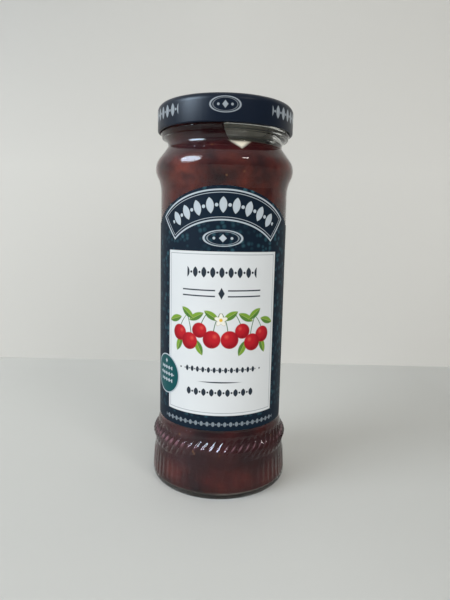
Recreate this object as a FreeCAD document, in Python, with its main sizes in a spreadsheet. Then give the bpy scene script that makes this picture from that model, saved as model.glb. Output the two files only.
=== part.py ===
"""Jam jar: a clear glass jar with a fluted foot, a twisted bead and a rounded shoulder,
filled with jam, with a wrapped paper label, a round sticker and a twist-off metal lid.

Frame: millimetres, +Z up, origin at the centre of the bearing ring, front of the label to -Y.
"""
import FreeCAD, Part
import math
import os

import Sketcher

V = FreeCAD.Vector

# Driving dimensions in millimetres, degrees or counts. Each is written once, here.
DIMENSIONS = {
    # foot and twisted bead, from the bearing ring up
    "foot_flare": 3.05,
    "foot_taper": 0.7,
    "foot_height": 12.2,
    "heel_rounding": 3.3,
    "bearing_reach": 6.65,
    "push_up_slope": 2.4,
    "push_up_depth": 1.2,
    "notch_depth": 0.75,
    "notch_rise": 3.2,
    "bead_stand": 3.15,
    "bead_rise": 4.5,
    "bead_fall": 7.0,
    "bead_rounding": 9.0,
    # straight panel, shoulder, neck and collar
    "panel_radius": 25.6,
    "panel_length": 95.5,
    "panel_top_rounding": 14.5,
    "shoulder_stand": 3.3,
    "shoulder_rise": 6.7,
    "shoulder_rounding": 6.8,
    "neck_draw": 1.9,
    "neck_rise": 8.75,
    "neck_rounding": 2.2,
    "collar_stand": 1.8,
    "collar_rise": 4.25,
    "collar_fall": 1.5,
    "edge_rounding": 1.0,
    # screw finish
    "finish_radius": 24.2,
    "finish_height": 8.95,
    "start_count": 4,
    "start_sweep": 50.0,
    "start_reach": 1.2,
    "start_height": 2.2,
    # glass walls
    "panel_wall": 2.45,
    "foot_wall": 2.6,
    "floor_thickness": 2.0,
    "floor_rounding": 3.2,
    "shoulder_wall": 2.7,
    "neck_wall": 2.1,
    "mouth_wall": 3.0,
    # decoration pressed into the glass
    "flute_count": 60,
    "flute_radius": 1.1,
    "flute_depth": 0.35,
    "flute_low": 5.0,
    "strand_count": 40,
    "strand_radius": 0.9,
    "strand_depth": 0.55,
    "strand_slant": 38.0,
    # lid
    "lid_stand": 2.8,
    "lid_drop": 1.1,
    "lid_sheet": 0.35,
    "lid_corner_rounding": 2.7,
    "hem_height": 1.5,
    "hem_clearance": 0.2,
    "lug_sweep": 15.0,
    "lug_reach": 1.75,
    "lug_height": 1.4,
    "lug_clearance": 0.3,
    "top_clearance": 0.6,
    "top_step": 0.9,
    "button_radius": 9.0,
    "button_depth": 0.45,
    # jam
    "jam_below_neck": 1.45,
    # label and sticker
    "paper": 0.15,
    "label_low_margin": 1.1,
    "label_side_margin": 15.2,
    "label_peak_margin": 1.6,
    "label_arch_overlap": 4.3,
    "sticker_radius": 8.0,
    "sticker_rise": 19.5,
    "sticker_turn": -56.0,
    "sticker_paper": 0.1,
}


class Size:
    """A dimension that carries both its number and the expression that the document binds."""

    def __init__(self, value, text):
        self.value = float(value)
        self.text = text

    @staticmethod
    def of(other):
        """Return other as a Size."""
        return other if isinstance(other, Size) else Size(other, repr(float(other)))

    def join(self, other, sign, value):
        """Return the Size of a binary operation whose result is value."""
        return Size(value, "(%s %s %s)" % (self.text, sign, Size.of(other).text))

    def __add__(self, other):
        return self.join(other, "+", self.value + Size.of(other).value)

    def __sub__(self, other):
        return self.join(other, "-", self.value - Size.of(other).value)

    def __mul__(self, other):
        return self.join(other, "*", self.value * Size.of(other).value)

    def __truediv__(self, other):
        return self.join(other, "/", self.value / Size.of(other).value)


def make_sheet(doc):
    """Write the driving dimensions to a spreadsheet and return them as Sizes."""
    sheet = doc.addObject("Spreadsheet::Sheet", "Sizes")
    for row, (name, value) in enumerate(DIMENSIONS.items(), start=1):
        sheet.set("A%d" % row, name)
        sheet.set("B%d" % row, str(value))
        sheet.setAlias("B%d" % row, name)
    doc.recompute()
    return {name: Size(getattr(sheet, name), "Sizes.%s" % name) for name in DIMENSIONS}


def work_out(d):
    """Add the radii and heights that follow from the driving dimensions."""
    d["foot_radius"] = d["panel_radius"] + d["foot_flare"]
    d["foot_top_radius"] = d["foot_radius"] - d["foot_taper"]
    d["bearing_inner_radius"] = d["foot_radius"] - d["bearing_reach"]
    d["push_up_radius"] = d["bearing_inner_radius"] - d["push_up_slope"]
    d["notch_radius"] = d["foot_top_radius"] - d["notch_depth"]
    d["notch_height"] = d["foot_height"] + d["notch_rise"]
    d["bead_radius"] = d["panel_radius"] + d["bead_stand"]
    d["bead_height"] = d["notch_height"] + d["bead_rise"]
    d["panel_foot_height"] = d["bead_height"] + d["bead_fall"]
    d["panel_top_height"] = d["panel_foot_height"] + d["panel_length"]
    d["shoulder_radius"] = d["panel_radius"] + d["shoulder_stand"]
    d["shoulder_height"] = d["panel_top_height"] + d["shoulder_rise"]
    d["neck_radius"] = d["finish_radius"] - d["neck_draw"]
    d["neck_height"] = d["shoulder_height"] + d["neck_rise"]
    d["collar_radius"] = d["finish_radius"] + d["collar_stand"]
    d["collar_height"] = d["neck_height"] + d["collar_rise"]
    d["finish_foot_height"] = d["collar_height"] + d["collar_fall"]
    d["mouth_radius"] = d["finish_radius"] - d["mouth_wall"]
    d["rim_height"] = d["finish_foot_height"] + d["finish_height"]
    d["lid_top_height"] = d["rim_height"] + d["lid_sheet"]
    d["lid_low_height"] = d["finish_foot_height"] - d["lid_drop"]
    d["lid_radius"] = d["finish_radius"] + d["lid_stand"]
    d["hem_radius"] = d["collar_radius"] - d["edge_rounding"] * 0.4 + d["hem_clearance"]
    d["lug_top_height"] = d["lid_low_height"] + d["hem_height"] + d["lug_height"]
    d["start_foot_height"] = d["lug_top_height"] + d["lug_clearance"]
    d["floor_height"] = d["push_up_depth"] + d["floor_thickness"]
    d["jam_level"] = d["neck_height"] - d["jam_below_neck"]
    d["label_low_height"] = d["panel_foot_height"] + d["label_low_margin"]
    d["label_side_height"] = d["panel_top_height"] - d["label_side_margin"]
    d["label_peak_height"] = d["panel_top_height"] - d["label_peak_margin"]
    d["label_arch_foot"] = d["label_side_height"] - d["label_arch_overlap"]
    d["sticker_height"] = d["label_low_height"] + d["sticker_rise"]
    return d


def origin_feature(body, role):
    """Return the origin plane or axis of a body that has the given role."""
    return next(item for item in body.Origin.OriginFeatures if item.Role == role)


def make_sketch(body, name, role):
    """Add a sketch that lies on one of the body's own origin planes."""
    sketch = body.newObject("Sketcher::SketchObject", name)
    sketch.AttachmentSupport = [(origin_feature(body, role), "")]
    sketch.MapMode = "FlatFace"
    return sketch


class Constraints:
    """Collects a sketch's constraints and adds them at once, with their expressions."""

    def __init__(self, sketch):
        self.sketch = sketch
        self.items = []

    def add(self, *what, size=None):
        """Note one constraint, bound to a size where it has one."""
        values = what if size is None else what + (size.value,)
        self.items.append((Sketcher.Constraint(*values), size))

    def place(self, geometry, vertex, across, up):
        """Hold a vertex at (across, up) from the sketch origin."""
        for kind, size, axis in (("DistanceX", across, -2), ("DistanceY", up, -1)):
            if size.value == 0.0:
                self.add("PointOnObject", geometry, vertex, axis)
            else:
                self.add(kind, -1, 1, geometry, vertex, size=size)

    def apply(self):
        """Add everything noted and bind the expressions."""
        numbers = self.sketch.addConstraint([constraint for constraint, _ in self.items])
        for number, (_, size) in zip(numbers, self.items):
            if size is not None:
                self.sketch.setExpression("Constraints[%d]" % number, size.text)


def corner_arc(before, point, after, radius):
    """Return the arc that rounds a corner, with the points where it leaves the two runs."""
    back = (before - point).normalize()
    ahead = (after - point).normalize()
    half = back.getAngle(ahead) / 2
    reach = radius / math.tan(half)
    middle = (back + ahead).normalize()
    centre = point + middle * (radius / math.sin(half))
    entry, leave = point + back * reach, point + ahead * reach
    return Part.Arc(entry, centre - middle * radius, leave), entry, leave


def rounded_outline(sketch, corners):
    """Draw a closed outline of straight runs, each corner given as (across, up, rounding).

    A corner with no rounding stays sharp. A rounded corner keeps its sharp point as
    construction geometry, which carries the two dimensions, and gets a tangent arc.
    """
    count = len(corners)
    points = [V(across.value, up.value, 0) for across, up, _ in corners]
    entry, leave, arcs = list(points), list(points), {}
    for index, (_, _, rounding) in enumerate(corners):
        if rounding is not None:
            arc, entry[index], leave[index] = corner_arc(
                points[index - 1], points[index], points[(index + 1) % count], rounding.value)
            arcs[index] = sketch.addGeometry(arc, False)
    lines = [sketch.addGeometry(Part.LineSegment(leave[index], entry[(index + 1) % count]), False)
             for index in range(count)]
    marks = {index: sketch.addGeometry(Part.Point(points[index]), True) for index in arcs}
    notes = Constraints(sketch)
    for index, (across, up, rounding) in enumerate(corners):
        before, after = lines[index - 1], lines[index]
        if rounding is None:
            notes.add("Coincident", before, 2, after, 1)
            notes.place(after, 1, across, up)
            continue
        arc = arcs[index]
        forward = sketch.getPoint(arc, 1).distanceToPoint(entry[index]) < 1e-6
        first, second = (1, 2) if forward else (2, 1)
        notes.add("Tangent", before, 2, arc, first)
        notes.add("Tangent", arc, second, after, 1)
        notes.add("Radius", arc, size=rounding)
        notes.place(marks[index], 1, across, up)
        notes.add("PointOnObject", marks[index], 1, before)
        notes.add("PointOnObject", marks[index], 1, after)
    notes.apply()


def revolve(body, name, corners, sweep=None, cut=False):
    """Revolve an outline of (radius, height, rounding) corners about the body's Z axis."""
    sketch = make_sketch(body, name + "Outline", "XZ_Plane")
    rounded_outline(sketch, corners)
    feature = body.newObject("PartDesign::Groove" if cut else "PartDesign::Revolution", name)
    feature.Profile = sketch
    feature.ReferenceAxis = (sketch, ["V_Axis"])
    if sweep is None:
        feature.Angle = 360.0
    else:
        feature.Midplane = True
        feature.setExpression("Angle", sweep.text)
    return feature


def polar(body, name, feature, count):
    """Repeat a feature round the body's Z axis."""
    pattern = body.newObject("PartDesign::PolarPattern", name)
    pattern.Originals = [feature]
    pattern.Axis = (origin_feature(body, "Z_Axis"), [""])
    pattern.Angle = 360.0
    pattern.setExpression("Occurrences", count.text)
    body.Tip = pattern
    return pattern


def inside_corners(d):
    """Return the corners of the glass's inner wall, from the floor up to the neck."""
    foot = d["foot_radius"] - d["foot_wall"]
    panel = d["panel_radius"] - d["panel_wall"]
    return [
        (foot, d["floor_height"], d["floor_rounding"]),
        (foot, d["bead_height"], d["bead_rounding"]),
        (panel, d["panel_foot_height"] + d["panel_wall"], d["bead_rounding"]),
        (panel, d["panel_top_height"], d["panel_top_rounding"]),
        (d["shoulder_radius"] - d["shoulder_wall"], d["shoulder_height"], d["shoulder_rounding"] - 1.5),
        (d["neck_radius"] - d["neck_wall"], d["neck_height"], d["neck_rounding"]),
    ]


def bead_crest(d):
    """Return the radius of the twisted bead's crest, inside its sharp corner."""
    rise = (d["bead_radius"] - d["notch_radius"]) / (d["bead_height"] - d["notch_height"])
    fall = (d["bead_radius"] - d["panel_radius"]) / (d["panel_foot_height"] - d["bead_height"])
    turn = (math.atan(rise.value) + math.atan(fall.value)) / 2
    return d["bead_radius"] - d["bead_rounding"] * (1 / math.cos(turn) - 1)


def press(body, name, across, up, lean_axis, lean, radius, length):
    """Press one round groove into the outside: a cylinder placed by its lower end."""
    groove = body.newObject("PartDesign::SubtractiveCylinder", name)
    groove.AttachmentSupport = [(origin_feature(body, "XY_Plane"), "")]
    groove.MapMode = "FlatFace"
    turn = FreeCAD.Rotation(lean_axis, lean)
    groove.AttachmentOffset = FreeCAD.Placement(V(0, 0, 0), turn)
    groove.setExpression("AttachmentOffset.Base.x", across.text)
    groove.setExpression("AttachmentOffset.Base.z", up.text)
    groove.setExpression("Radius", radius.text)
    groove.setExpression("Height", length.text)
    return groove


def add_flutes(body, d):
    """Press the upright flutes into the foot, leaning with its taper up to the notch."""
    low = d["flute_low"]
    high = d["notch_height"] - d["flute_radius"]
    taper = (d["foot_radius"] - d["foot_top_radius"]) / d["foot_height"]
    across = d["foot_radius"] + d["flute_radius"] - d["flute_depth"] - taper * low
    lean = -math.degrees(math.atan(taper.value))
    flute = press(body, "Flute", across, low, V(0, 1, 0), lean, d["flute_radius"], high - low)
    return polar(body, "Flutes", flute, d["flute_count"])


def add_strands(body, d):
    """Press the slanting grooves that make the bead look like a twisted cord."""
    across = bead_crest(d) + d["strand_radius"] - d["strand_depth"]
    half = d["panel_foot_height"] - d["bead_height"]
    patterns = []
    for name, side in (("Up", 1), ("Down", -1)):
        lean = -d["strand_slant"].value if side > 0 else 180 - d["strand_slant"].value
        strand = press(body, "Strand" + name, across, d["bead_height"], V(1, 0, 0), lean,
                       d["strand_radius"], half)
        patterns.append(polar(body, "Strands" + name, strand, d["strand_count"]))
    return patterns[-1]


def make_glass(doc, d):
    """Make the jar: one glass wall with foot, bead, panel, shoulder, neck and screw finish."""
    body = doc.addObject("PartDesign::Body", "Glass")
    body.Label = "jar_glass"
    outside = [
        (d["mouth_radius"], d["rim_height"], d["edge_rounding"]),
        (d["finish_radius"], d["rim_height"], d["edge_rounding"]),
        (d["finish_radius"], d["finish_foot_height"], None),
        (d["collar_radius"], d["collar_height"], d["edge_rounding"]),
        (d["neck_radius"], d["neck_height"], d["neck_rounding"]),
        (d["shoulder_radius"], d["shoulder_height"], d["shoulder_rounding"]),
        (d["panel_radius"], d["panel_top_height"], d["panel_top_rounding"]),
        (d["panel_radius"], d["panel_foot_height"], d["edge_rounding"]),
        (d["bead_radius"], d["bead_height"], d["bead_rounding"]),
        (d["notch_radius"], d["notch_height"], d["edge_rounding"] * 0.4),
        (d["foot_top_radius"], d["foot_height"], d["edge_rounding"]),
        (d["foot_radius"], Size.of(0), d["heel_rounding"]),
        (d["bearing_inner_radius"], Size.of(0), d["edge_rounding"]),
        (d["push_up_radius"], d["push_up_depth"], d["edge_rounding"]),
        (Size.of(0), d["push_up_depth"], None),
        (Size.of(0), d["floor_height"], None),
    ]
    inside = inside_corners(d) + [(d["mouth_radius"], d["finish_foot_height"], d["neck_rounding"])]
    revolve(body, "Wall", outside + inside)
    start_foot = d["start_foot_height"]
    revolve(body, "Start", [
        (d["finish_radius"] - d["edge_rounding"], start_foot, None),
        (d["finish_radius"] + d["start_reach"] * 0.1, start_foot, None),
        (d["finish_radius"] + d["start_reach"], start_foot + d["start_height"] * 0.3, None),
        (d["finish_radius"] + d["start_reach"], start_foot + d["start_height"] * 0.7, None),
        (d["finish_radius"] - d["edge_rounding"], start_foot + d["start_height"], None),
    ], sweep=d["start_sweep"])
    polar(body, "Starts", body.Tip, d["start_count"])
    add_flutes(body, d)
    add_strands(body, d)
    return body


def make_jam(doc, d):
    """Make the jam, which fills the jar face to face with its wall up to its level."""
    body = doc.addObject("PartDesign::Body", "Jam")
    body.Label = "jam"
    above = d["finish_foot_height"]
    revolve(body, "Fill", inside_corners(d)[:5] + [
        (d["neck_radius"] - d["neck_wall"], d["neck_height"], None),
        (d["neck_radius"] - d["neck_wall"], above, None),
        (Size.of(0), above, None),
        (Size.of(0), d["floor_height"], None),
    ])
    reach = d["foot_radius"]
    revolve(body, "Headspace", [
        (Size.of(0), d["jam_level"], None),
        (reach, d["jam_level"], None),
        (reach, above + 1, None),
        (Size.of(0), above + 1, None),
    ], cut=True)
    return body


def make_lid(doc, d):
    """Make the lid: one pressed sheet with a rolled hem and lugs bent in under the starts."""
    body = doc.addObject("PartDesign::Body", "Lid")
    body.Label = "lid"
    sheet, top, low = d["lid_sheet"], d["lid_top_height"], d["lid_low_height"]
    bore = d["lid_radius"] - sheet
    hem = d["hem_radius"]
    hem_top = low + d["hem_height"]
    step, button = d["mouth_radius"] - d["top_clearance"], d["button_radius"]
    panel = top - d["top_step"]
    dimple = panel - d["button_depth"]
    fine = d["hem_height"] * 0.3
    revolve(body, "Sheet", [
        (Size.of(0), dimple, None),
        (button - d["top_step"], dimple, fine),
        (button, panel, fine),
        (step, panel, fine),
        (step + d["top_step"], top, fine),
        (d["lid_radius"], top, d["lid_corner_rounding"]),
        (d["lid_radius"], low, fine),
        (hem, low, fine),
        (hem, hem_top, d["hem_height"] * 0.25),
        (bore, hem_top, None),
        (bore, top - sheet, d["lid_corner_rounding"] - sheet),
        (step + d["top_step"], top - sheet, fine),
        (step, panel - sheet, fine),
        (button, panel - sheet, fine),
        (button - d["top_step"], dimple - sheet, fine),
        (Size.of(0), dimple - sheet, None),
    ])
    revolve(body, "Lug", [
        (hem, hem_top - d["hem_height"] * 0.5, None),
        (bore + sheet * 0.5, hem_top - d["hem_height"] * 0.5, None),
        (bore + sheet * 0.5, d["lug_top_height"], None),
        (bore - d["lug_reach"], d["lug_top_height"], None),
        (bore - d["lug_reach"], hem_top + d["lug_height"] * 0.4, None),
    ], sweep=d["lug_sweep"])
    polar(body, "Lugs", body.Tip, d["start_count"])
    return body


def make_label(doc, d):
    """Make the paper label: a full wrap whose top edge rises to an arch at the front."""
    body = doc.addObject("PartDesign::Body", "Label")
    body.Label = "label"
    inner = d["panel_radius"]
    outer = inner + d["paper"]
    peak = d["label_peak_height"]
    revolve(body, "Wrap", [
        (inner, d["label_low_height"], None),
        (outer, d["label_low_height"], None),
        (outer, peak, None),
        (inner, peak, None),
    ])
    slope = (peak - d["label_arch_foot"]) / outer
    shoulder = (d["label_side_height"] - d["label_arch_foot"]) / slope
    beyond = outer + d["panel_wall"]
    sketch = make_sketch(body, "ArchOutline", "YZ_Plane")
    rounded_outline(sketch, [
        (Size.of(0) - beyond, d["label_arch_foot"] + slope * beyond, None),
        (Size.of(0) - shoulder, d["label_side_height"], None),
        (beyond, d["label_side_height"], None),
        (beyond, peak + beyond, None),
        (Size.of(0) - beyond, peak + beyond, None),
    ])
    pocket = body.newObject("PartDesign::Pocket", "Arch")
    pocket.Profile = sketch
    pocket.Type = "ThroughAll"
    pocket.Midplane = True
    body.Tip = pocket
    return body


def make_sticker(doc, d):
    """Make the round sticker, a disc of paper bent round the label left of its front."""
    def cylinder(name, radius, height):
        item = doc.addObject("Part::Cylinder", name)
        item.setExpression("Radius", radius.text)
        item.setExpression("Height", height.text)
        return item

    inner = d["panel_radius"] + d["paper"]
    span = d["sticker_radius"] * 4
    low = d["sticker_height"] - d["sticker_radius"] * 2
    skin = cylinder("StickerSkin", inner + d["sticker_paper"], span)
    core = cylinder("StickerCore", inner, span)
    for item in (skin, core):
        item.setExpression("Placement.Base.z", low.text)
    shell = doc.addObject("Part::Cut", "StickerShell")
    shell.Base, shell.Tool = skin, core
    punch = cylinder("StickerPunch", d["sticker_radius"], d["foot_radius"] * 2)
    turn = FreeCAD.Rotation(V(0, 0, 1), d["sticker_turn"].value)
    lay = FreeCAD.Rotation(V(1, 0, 0), 90)
    punch.Placement = FreeCAD.Placement(V(0, 0, 0), turn.multiply(lay))
    punch.setExpression("Placement.Base.z", d["sticker_height"].text)
    sticker = doc.addObject("Part::Common", "Sticker")
    sticker.Base, sticker.Tool = shell, punch
    sticker.Label = "sticker"
    return sticker


def check(doc, parts):
    """Stop if any object failed or any sub-part has no valid solid."""
    for item in doc.Objects:
        if any(state in ("Invalid", "Error") for state in item.State):
            raise RuntimeError("%s failed: %s" % (item.Name, item.State))
    for part in parts:
        shape = part.Shape
        if shape.isNull() or not shape.isValid() or len(shape.Solids) != 1:
            raise RuntimeError("%s is not one valid solid" % part.Label)


def main():
    """Build the document, check it and write one STEP file for each sub-part."""
    doc = FreeCAD.newDocument("JamJar")
    sizes = work_out(make_sheet(doc))
    makers = (make_glass, make_jam, make_lid, make_label, make_sticker)
    parts = [maker(doc, sizes) for maker in makers]
    doc.recompute()
    check(doc, parts)
    os.makedirs("parts", exist_ok=True)
    for part in parts:
        part.Shape.exportStep("parts/%s.step" % part.Label)
        print("%-10s volume %9.1f mm3" % (part.Label, part.Shape.Volume))


main()
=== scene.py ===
"""Looks of a jam jar: clear pressed glass, dark fruit jam, printed paper label, sticker and lid."""
import logging
import math
from dataclasses import dataclass
from enum import Enum
from typing import Callable, ClassVar, Iterable, Sequence, Union

import bmesh
import bpy
from mathutils import Matrix, Vector, noise


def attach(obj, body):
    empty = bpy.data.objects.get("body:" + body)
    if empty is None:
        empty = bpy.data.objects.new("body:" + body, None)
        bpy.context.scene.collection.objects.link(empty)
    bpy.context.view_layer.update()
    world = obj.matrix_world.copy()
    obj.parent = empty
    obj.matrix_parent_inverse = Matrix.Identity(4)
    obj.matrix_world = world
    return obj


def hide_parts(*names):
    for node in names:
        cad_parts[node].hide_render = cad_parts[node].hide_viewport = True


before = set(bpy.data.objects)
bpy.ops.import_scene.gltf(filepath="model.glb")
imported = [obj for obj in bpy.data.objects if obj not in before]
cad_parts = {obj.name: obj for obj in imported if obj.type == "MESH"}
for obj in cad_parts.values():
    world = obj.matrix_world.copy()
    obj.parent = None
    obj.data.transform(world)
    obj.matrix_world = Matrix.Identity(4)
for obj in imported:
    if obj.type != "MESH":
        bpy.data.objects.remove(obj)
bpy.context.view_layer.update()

LOG = logging.getLogger("jam_jar")
MM = 0.001
MIX_FACTOR, MIX_LOW, MIX_HIGH, MIX_RESULT = 0, 6, 7, 2
Colour = tuple[float, float, float, float]
Corner = tuple[float, float, float]


def srgb(red: int, green: int, blue: int) -> Colour:
    """Turn an 8-bit display colour into the linear colour that a shader takes."""
    def linear(part: int) -> float:
        """Undo the display curve for one channel."""
        value = part / 255
        return value / 12.92 if value <= 0.04045 else ((value + 0.055) / 1.055) ** 2.4
    return linear(red), linear(green), linear(blue), 1.0


# ----------------------------------------------------------------------------- sizes


@dataclass(frozen=True)
class JarSizes:
    """Sizes of the jar in millimetres, with heights counted from the bearing ring."""

    panel: float = 25.6
    foot: float = 28.65
    foot_top: float = 27.95
    foot_top_z: float = 12.2
    notch: float = 27.2
    notch_z: float = 15.4
    bead: float = 28.75
    bead_z: float = 19.9
    panel_foot_z: float = 26.9
    panel_top_z: float = 122.4
    shoulder: float = 28.9
    shoulder_z: float = 129.1
    neck: float = 22.3
    neck_z: float = 137.85
    ledge: float = 24.45
    ledge_z: float = 140.3
    collar: float = 26.0
    collar_z: float = 142.1
    finish: float = 24.2
    finish_foot_z: float = 143.6
    rim_z: float = 152.55
    mouth: float = 21.2
    panel_wall: float = 2.45
    foot_wall: float = 2.6
    shoulder_wall: float = 2.7
    neck_wall: float = 2.1
    floor_z: float = 3.2
    push_up_z: float = 1.2
    jam_z: float = 136.4
    paper: float = 0.15


SIZES = JarSizes()


def rounded(corners: Sequence[Corner], step: float = math.radians(7)) -> list[tuple[float, float]]:
    """Round the corners of an open outline of straight runs.

    Args:
        corners: (radius, height, rounding) of each corner; the two ends stay sharp.
        step: the turn of each short run along a rounding, in radians.

    Returns:
        Points (radius, height) along the outline.
    """
    points = [Vector((corners[0][0], corners[0][1]))]
    for before, corner, after in zip(corners, corners[1:], corners[2:]):
        here = Vector(corner[:2])
        back = (Vector(before[:2]) - here).normalized()
        ahead = (Vector(after[:2]) - here).normalized()
        half = back.angle(ahead) / 2
        if corner[2] <= 0:
            points.append(here)
            continue
        middle = (back + ahead).normalized()
        centre = here + middle * (corner[2] / math.sin(half))
        start = here + back * (corner[2] / math.tan(half)) - centre
        turn = math.pi - 2 * half
        side = 1 if back.x * ahead.y - back.y * ahead.x < 0 else -1
        count = max(2, math.ceil(turn / step))
        for index in range(count + 1):
            angle = side * turn * index / count
            points.append(centre + Matrix.Rotation(angle, 2) @ start)
    points.append(Vector((corners[-1][0], corners[-1][1])))
    return [(point.x, point.y) for point in points]


def refine(points: Sequence[tuple[float, float]], longest: float) -> list[tuple[float, float]]:
    """Split runs of an outline that are longer than a given length.

    Args:
        points: the outline.
        longest: the longest run allowed, in millimetres.

    Returns:
        The outline with more points on its long runs.
    """
    result = [points[0]]
    for (r0, z0), (r1, z1) in zip(points, points[1:]):
        count = max(1, math.ceil(math.hypot(r1 - r0, z1 - z0) / longest))
        result += [(r0 + (r1 - r0) * i / count, z0 + (z1 - z0) * i / count) for i in range(1, count + 1)]
    return result


# ----------------------------------------------------------------------------- meshes


def mesh_object(name: str, vertices: Iterable[Vector], faces: Iterable[Sequence[int]]) -> bpy.types.Object:
    """Make a smooth-shaded object at the origin from vertices in metres."""
    mesh = bpy.data.meshes.new(name)
    mesh.from_pydata([tuple(v) for v in vertices], [], [tuple(f) for f in faces])
    mesh.validate()
    mesh.shade_smooth()
    piece = bpy.data.objects.new(name, mesh)
    bpy.context.scene.collection.objects.link(piece)
    return piece


def on_ring(angle: float, radius: float, height: float) -> Vector:
    """Return the place, in metres, at an angle from the front, a radius and a height."""
    return Vector((radius * math.sin(angle), -radius * math.cos(angle), height)) * MM


def turned(name: str, outline: Sequence[tuple[float, float]], segments: int) -> bpy.types.Object:
    """Turn an outline round the Z axis into a closed mesh.

    Args:
        name: the piece's name.
        outline: (radius, height) points in millimetres, starting and ending on the axis
            or forming a loop whose last point joins its first.
        segments: how many columns go round.

    Returns:
        The new object, with its faces pointing outwards.
    """
    vertices: list[Vector] = []
    rings: list[list[int]] = []
    for radius, height in outline:
        if radius < 1e-6:
            rings.append([len(vertices)] * segments)
            vertices.append(Vector((0, 0, height * MM)))
            continue
        rings.append(list(range(len(vertices), len(vertices) + segments)))
        for column in range(segments):
            vertices.append(on_ring(2 * math.pi * column / segments, radius, height))
    closed = outline[0][0] > 1e-6
    pairs = list(zip(rings, rings[1:])) + ([(rings[-1], rings[0])] if closed else [])
    faces = []
    for low, high in pairs:
        for column in range(segments):
            after = (column + 1) % segments
            face = [low[column], low[after], high[after], high[column]]
            faces.append(list(dict.fromkeys(face)))
    piece = mesh_object(name, vertices, [face for face in faces if len(face) > 2])
    point_outwards(piece)
    return piece


def point_outwards(piece: bpy.types.Object) -> None:
    """Turn a closed mesh right side out if its volume comes out negative."""
    shape = bmesh.new()
    shape.from_mesh(piece.data)
    bmesh.ops.recalc_face_normals(shape, faces=shape.faces)
    if shape.calc_volume(signed=True) < 0:
        bmesh.ops.reverse_faces(shape, faces=shape.faces)
    shape.to_mesh(piece.data)
    shape.free()


# ----------------------------------------------------------------------------- node wiring


Value = Union["Wire", float]


class Net:
    """A node tree under construction, for shaders and geometry alike."""

    def __init__(self, tree: bpy.types.NodeTree) -> None:
        """Keep the tree that nodes are added to."""
        self.tree = tree

    def node(self, kind: str, **settings: object) -> bpy.types.Node:
        """Add a node and set its properties."""
        node = self.tree.nodes.new(kind)
        for name, value in settings.items():
            setattr(node, name, value)
        return node

    def feed(self, socket: bpy.types.NodeSocket, value: object) -> None:
        """Link a wire or a socket to an input, or set the input's plain value."""
        if isinstance(value, Wire):
            value = value.socket
        if isinstance(value, bpy.types.NodeSocket):
            self.tree.links.new(value, socket)
        else:
            socket.default_value = value

    def math(self, operation: str, *values: Value, clamp: bool = False) -> "Wire":
        """Add a math node and return its result."""
        node = self.node("ShaderNodeMath", operation=operation, use_clamp=clamp)
        for socket, value in zip(node.inputs, values):
            self.feed(socket, value)
        return Wire(self, node.outputs[0])

    def mix(self, factor: Value, low: object, high: object) -> "Wire":
        """Blend two colours by a factor."""
        node = self.node("ShaderNodeMix", data_type="RGBA")
        self.feed(node.inputs[MIX_FACTOR], factor)
        self.feed(node.inputs[MIX_LOW], low)
        self.feed(node.inputs[MIX_HIGH], high)
        return Wire(self, node.outputs[MIX_RESULT])


class Wire:
    """A number or colour that flows through a tree, with arithmetic."""

    def __init__(self, net: Net, socket: bpy.types.NodeSocket) -> None:
        """Keep the socket that gives the value."""
        self.net = net
        self.socket = socket

    def __add__(self, other: Value) -> "Wire":
        """Add."""
        return self.net.math("ADD", self, other)

    def __sub__(self, other: Value) -> "Wire":
        """Subtract."""
        return self.net.math("SUBTRACT", self, other)

    def __rsub__(self, other: float) -> "Wire":
        """Subtract from a number."""
        return self.net.math("SUBTRACT", other, self)

    def __mul__(self, other: Value) -> "Wire":
        """Multiply."""
        return self.net.math("MULTIPLY", self, other)

    def __truediv__(self, other: Value) -> "Wire":
        """Divide."""
        return self.net.math("DIVIDE", self, other)

    def abs(self) -> "Wire":
        """Take the absolute value."""
        return self.net.math("ABSOLUTE", self)

    def squared(self, unit: float = 1.0) -> "Wire":
        """Take the square of the value counted in a unit."""
        return (self / unit) * (self / unit)

    def cos(self) -> "Wire":
        """Take the cosine."""
        return self.net.math("COSINE", self)

    def min(self, other: Value) -> "Wire":
        """Take the smaller value."""
        return self.net.math("MINIMUM", self, other)

    def max(self, other: Value) -> "Wire":
        """Take the larger value."""
        return self.net.math("MAXIMUM", self, other)

    def above(self, level: Value) -> "Wire":
        """Give 1 where the value is greater than a level, else 0."""
        return self.net.math("GREATER_THAN", self, level)

    def wrap(self, pitch: float) -> "Wire":
        """Fold the value into one pitch centred on zero."""
        return self.net.math("WRAP", self, pitch / 2, -pitch / 2)


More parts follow.
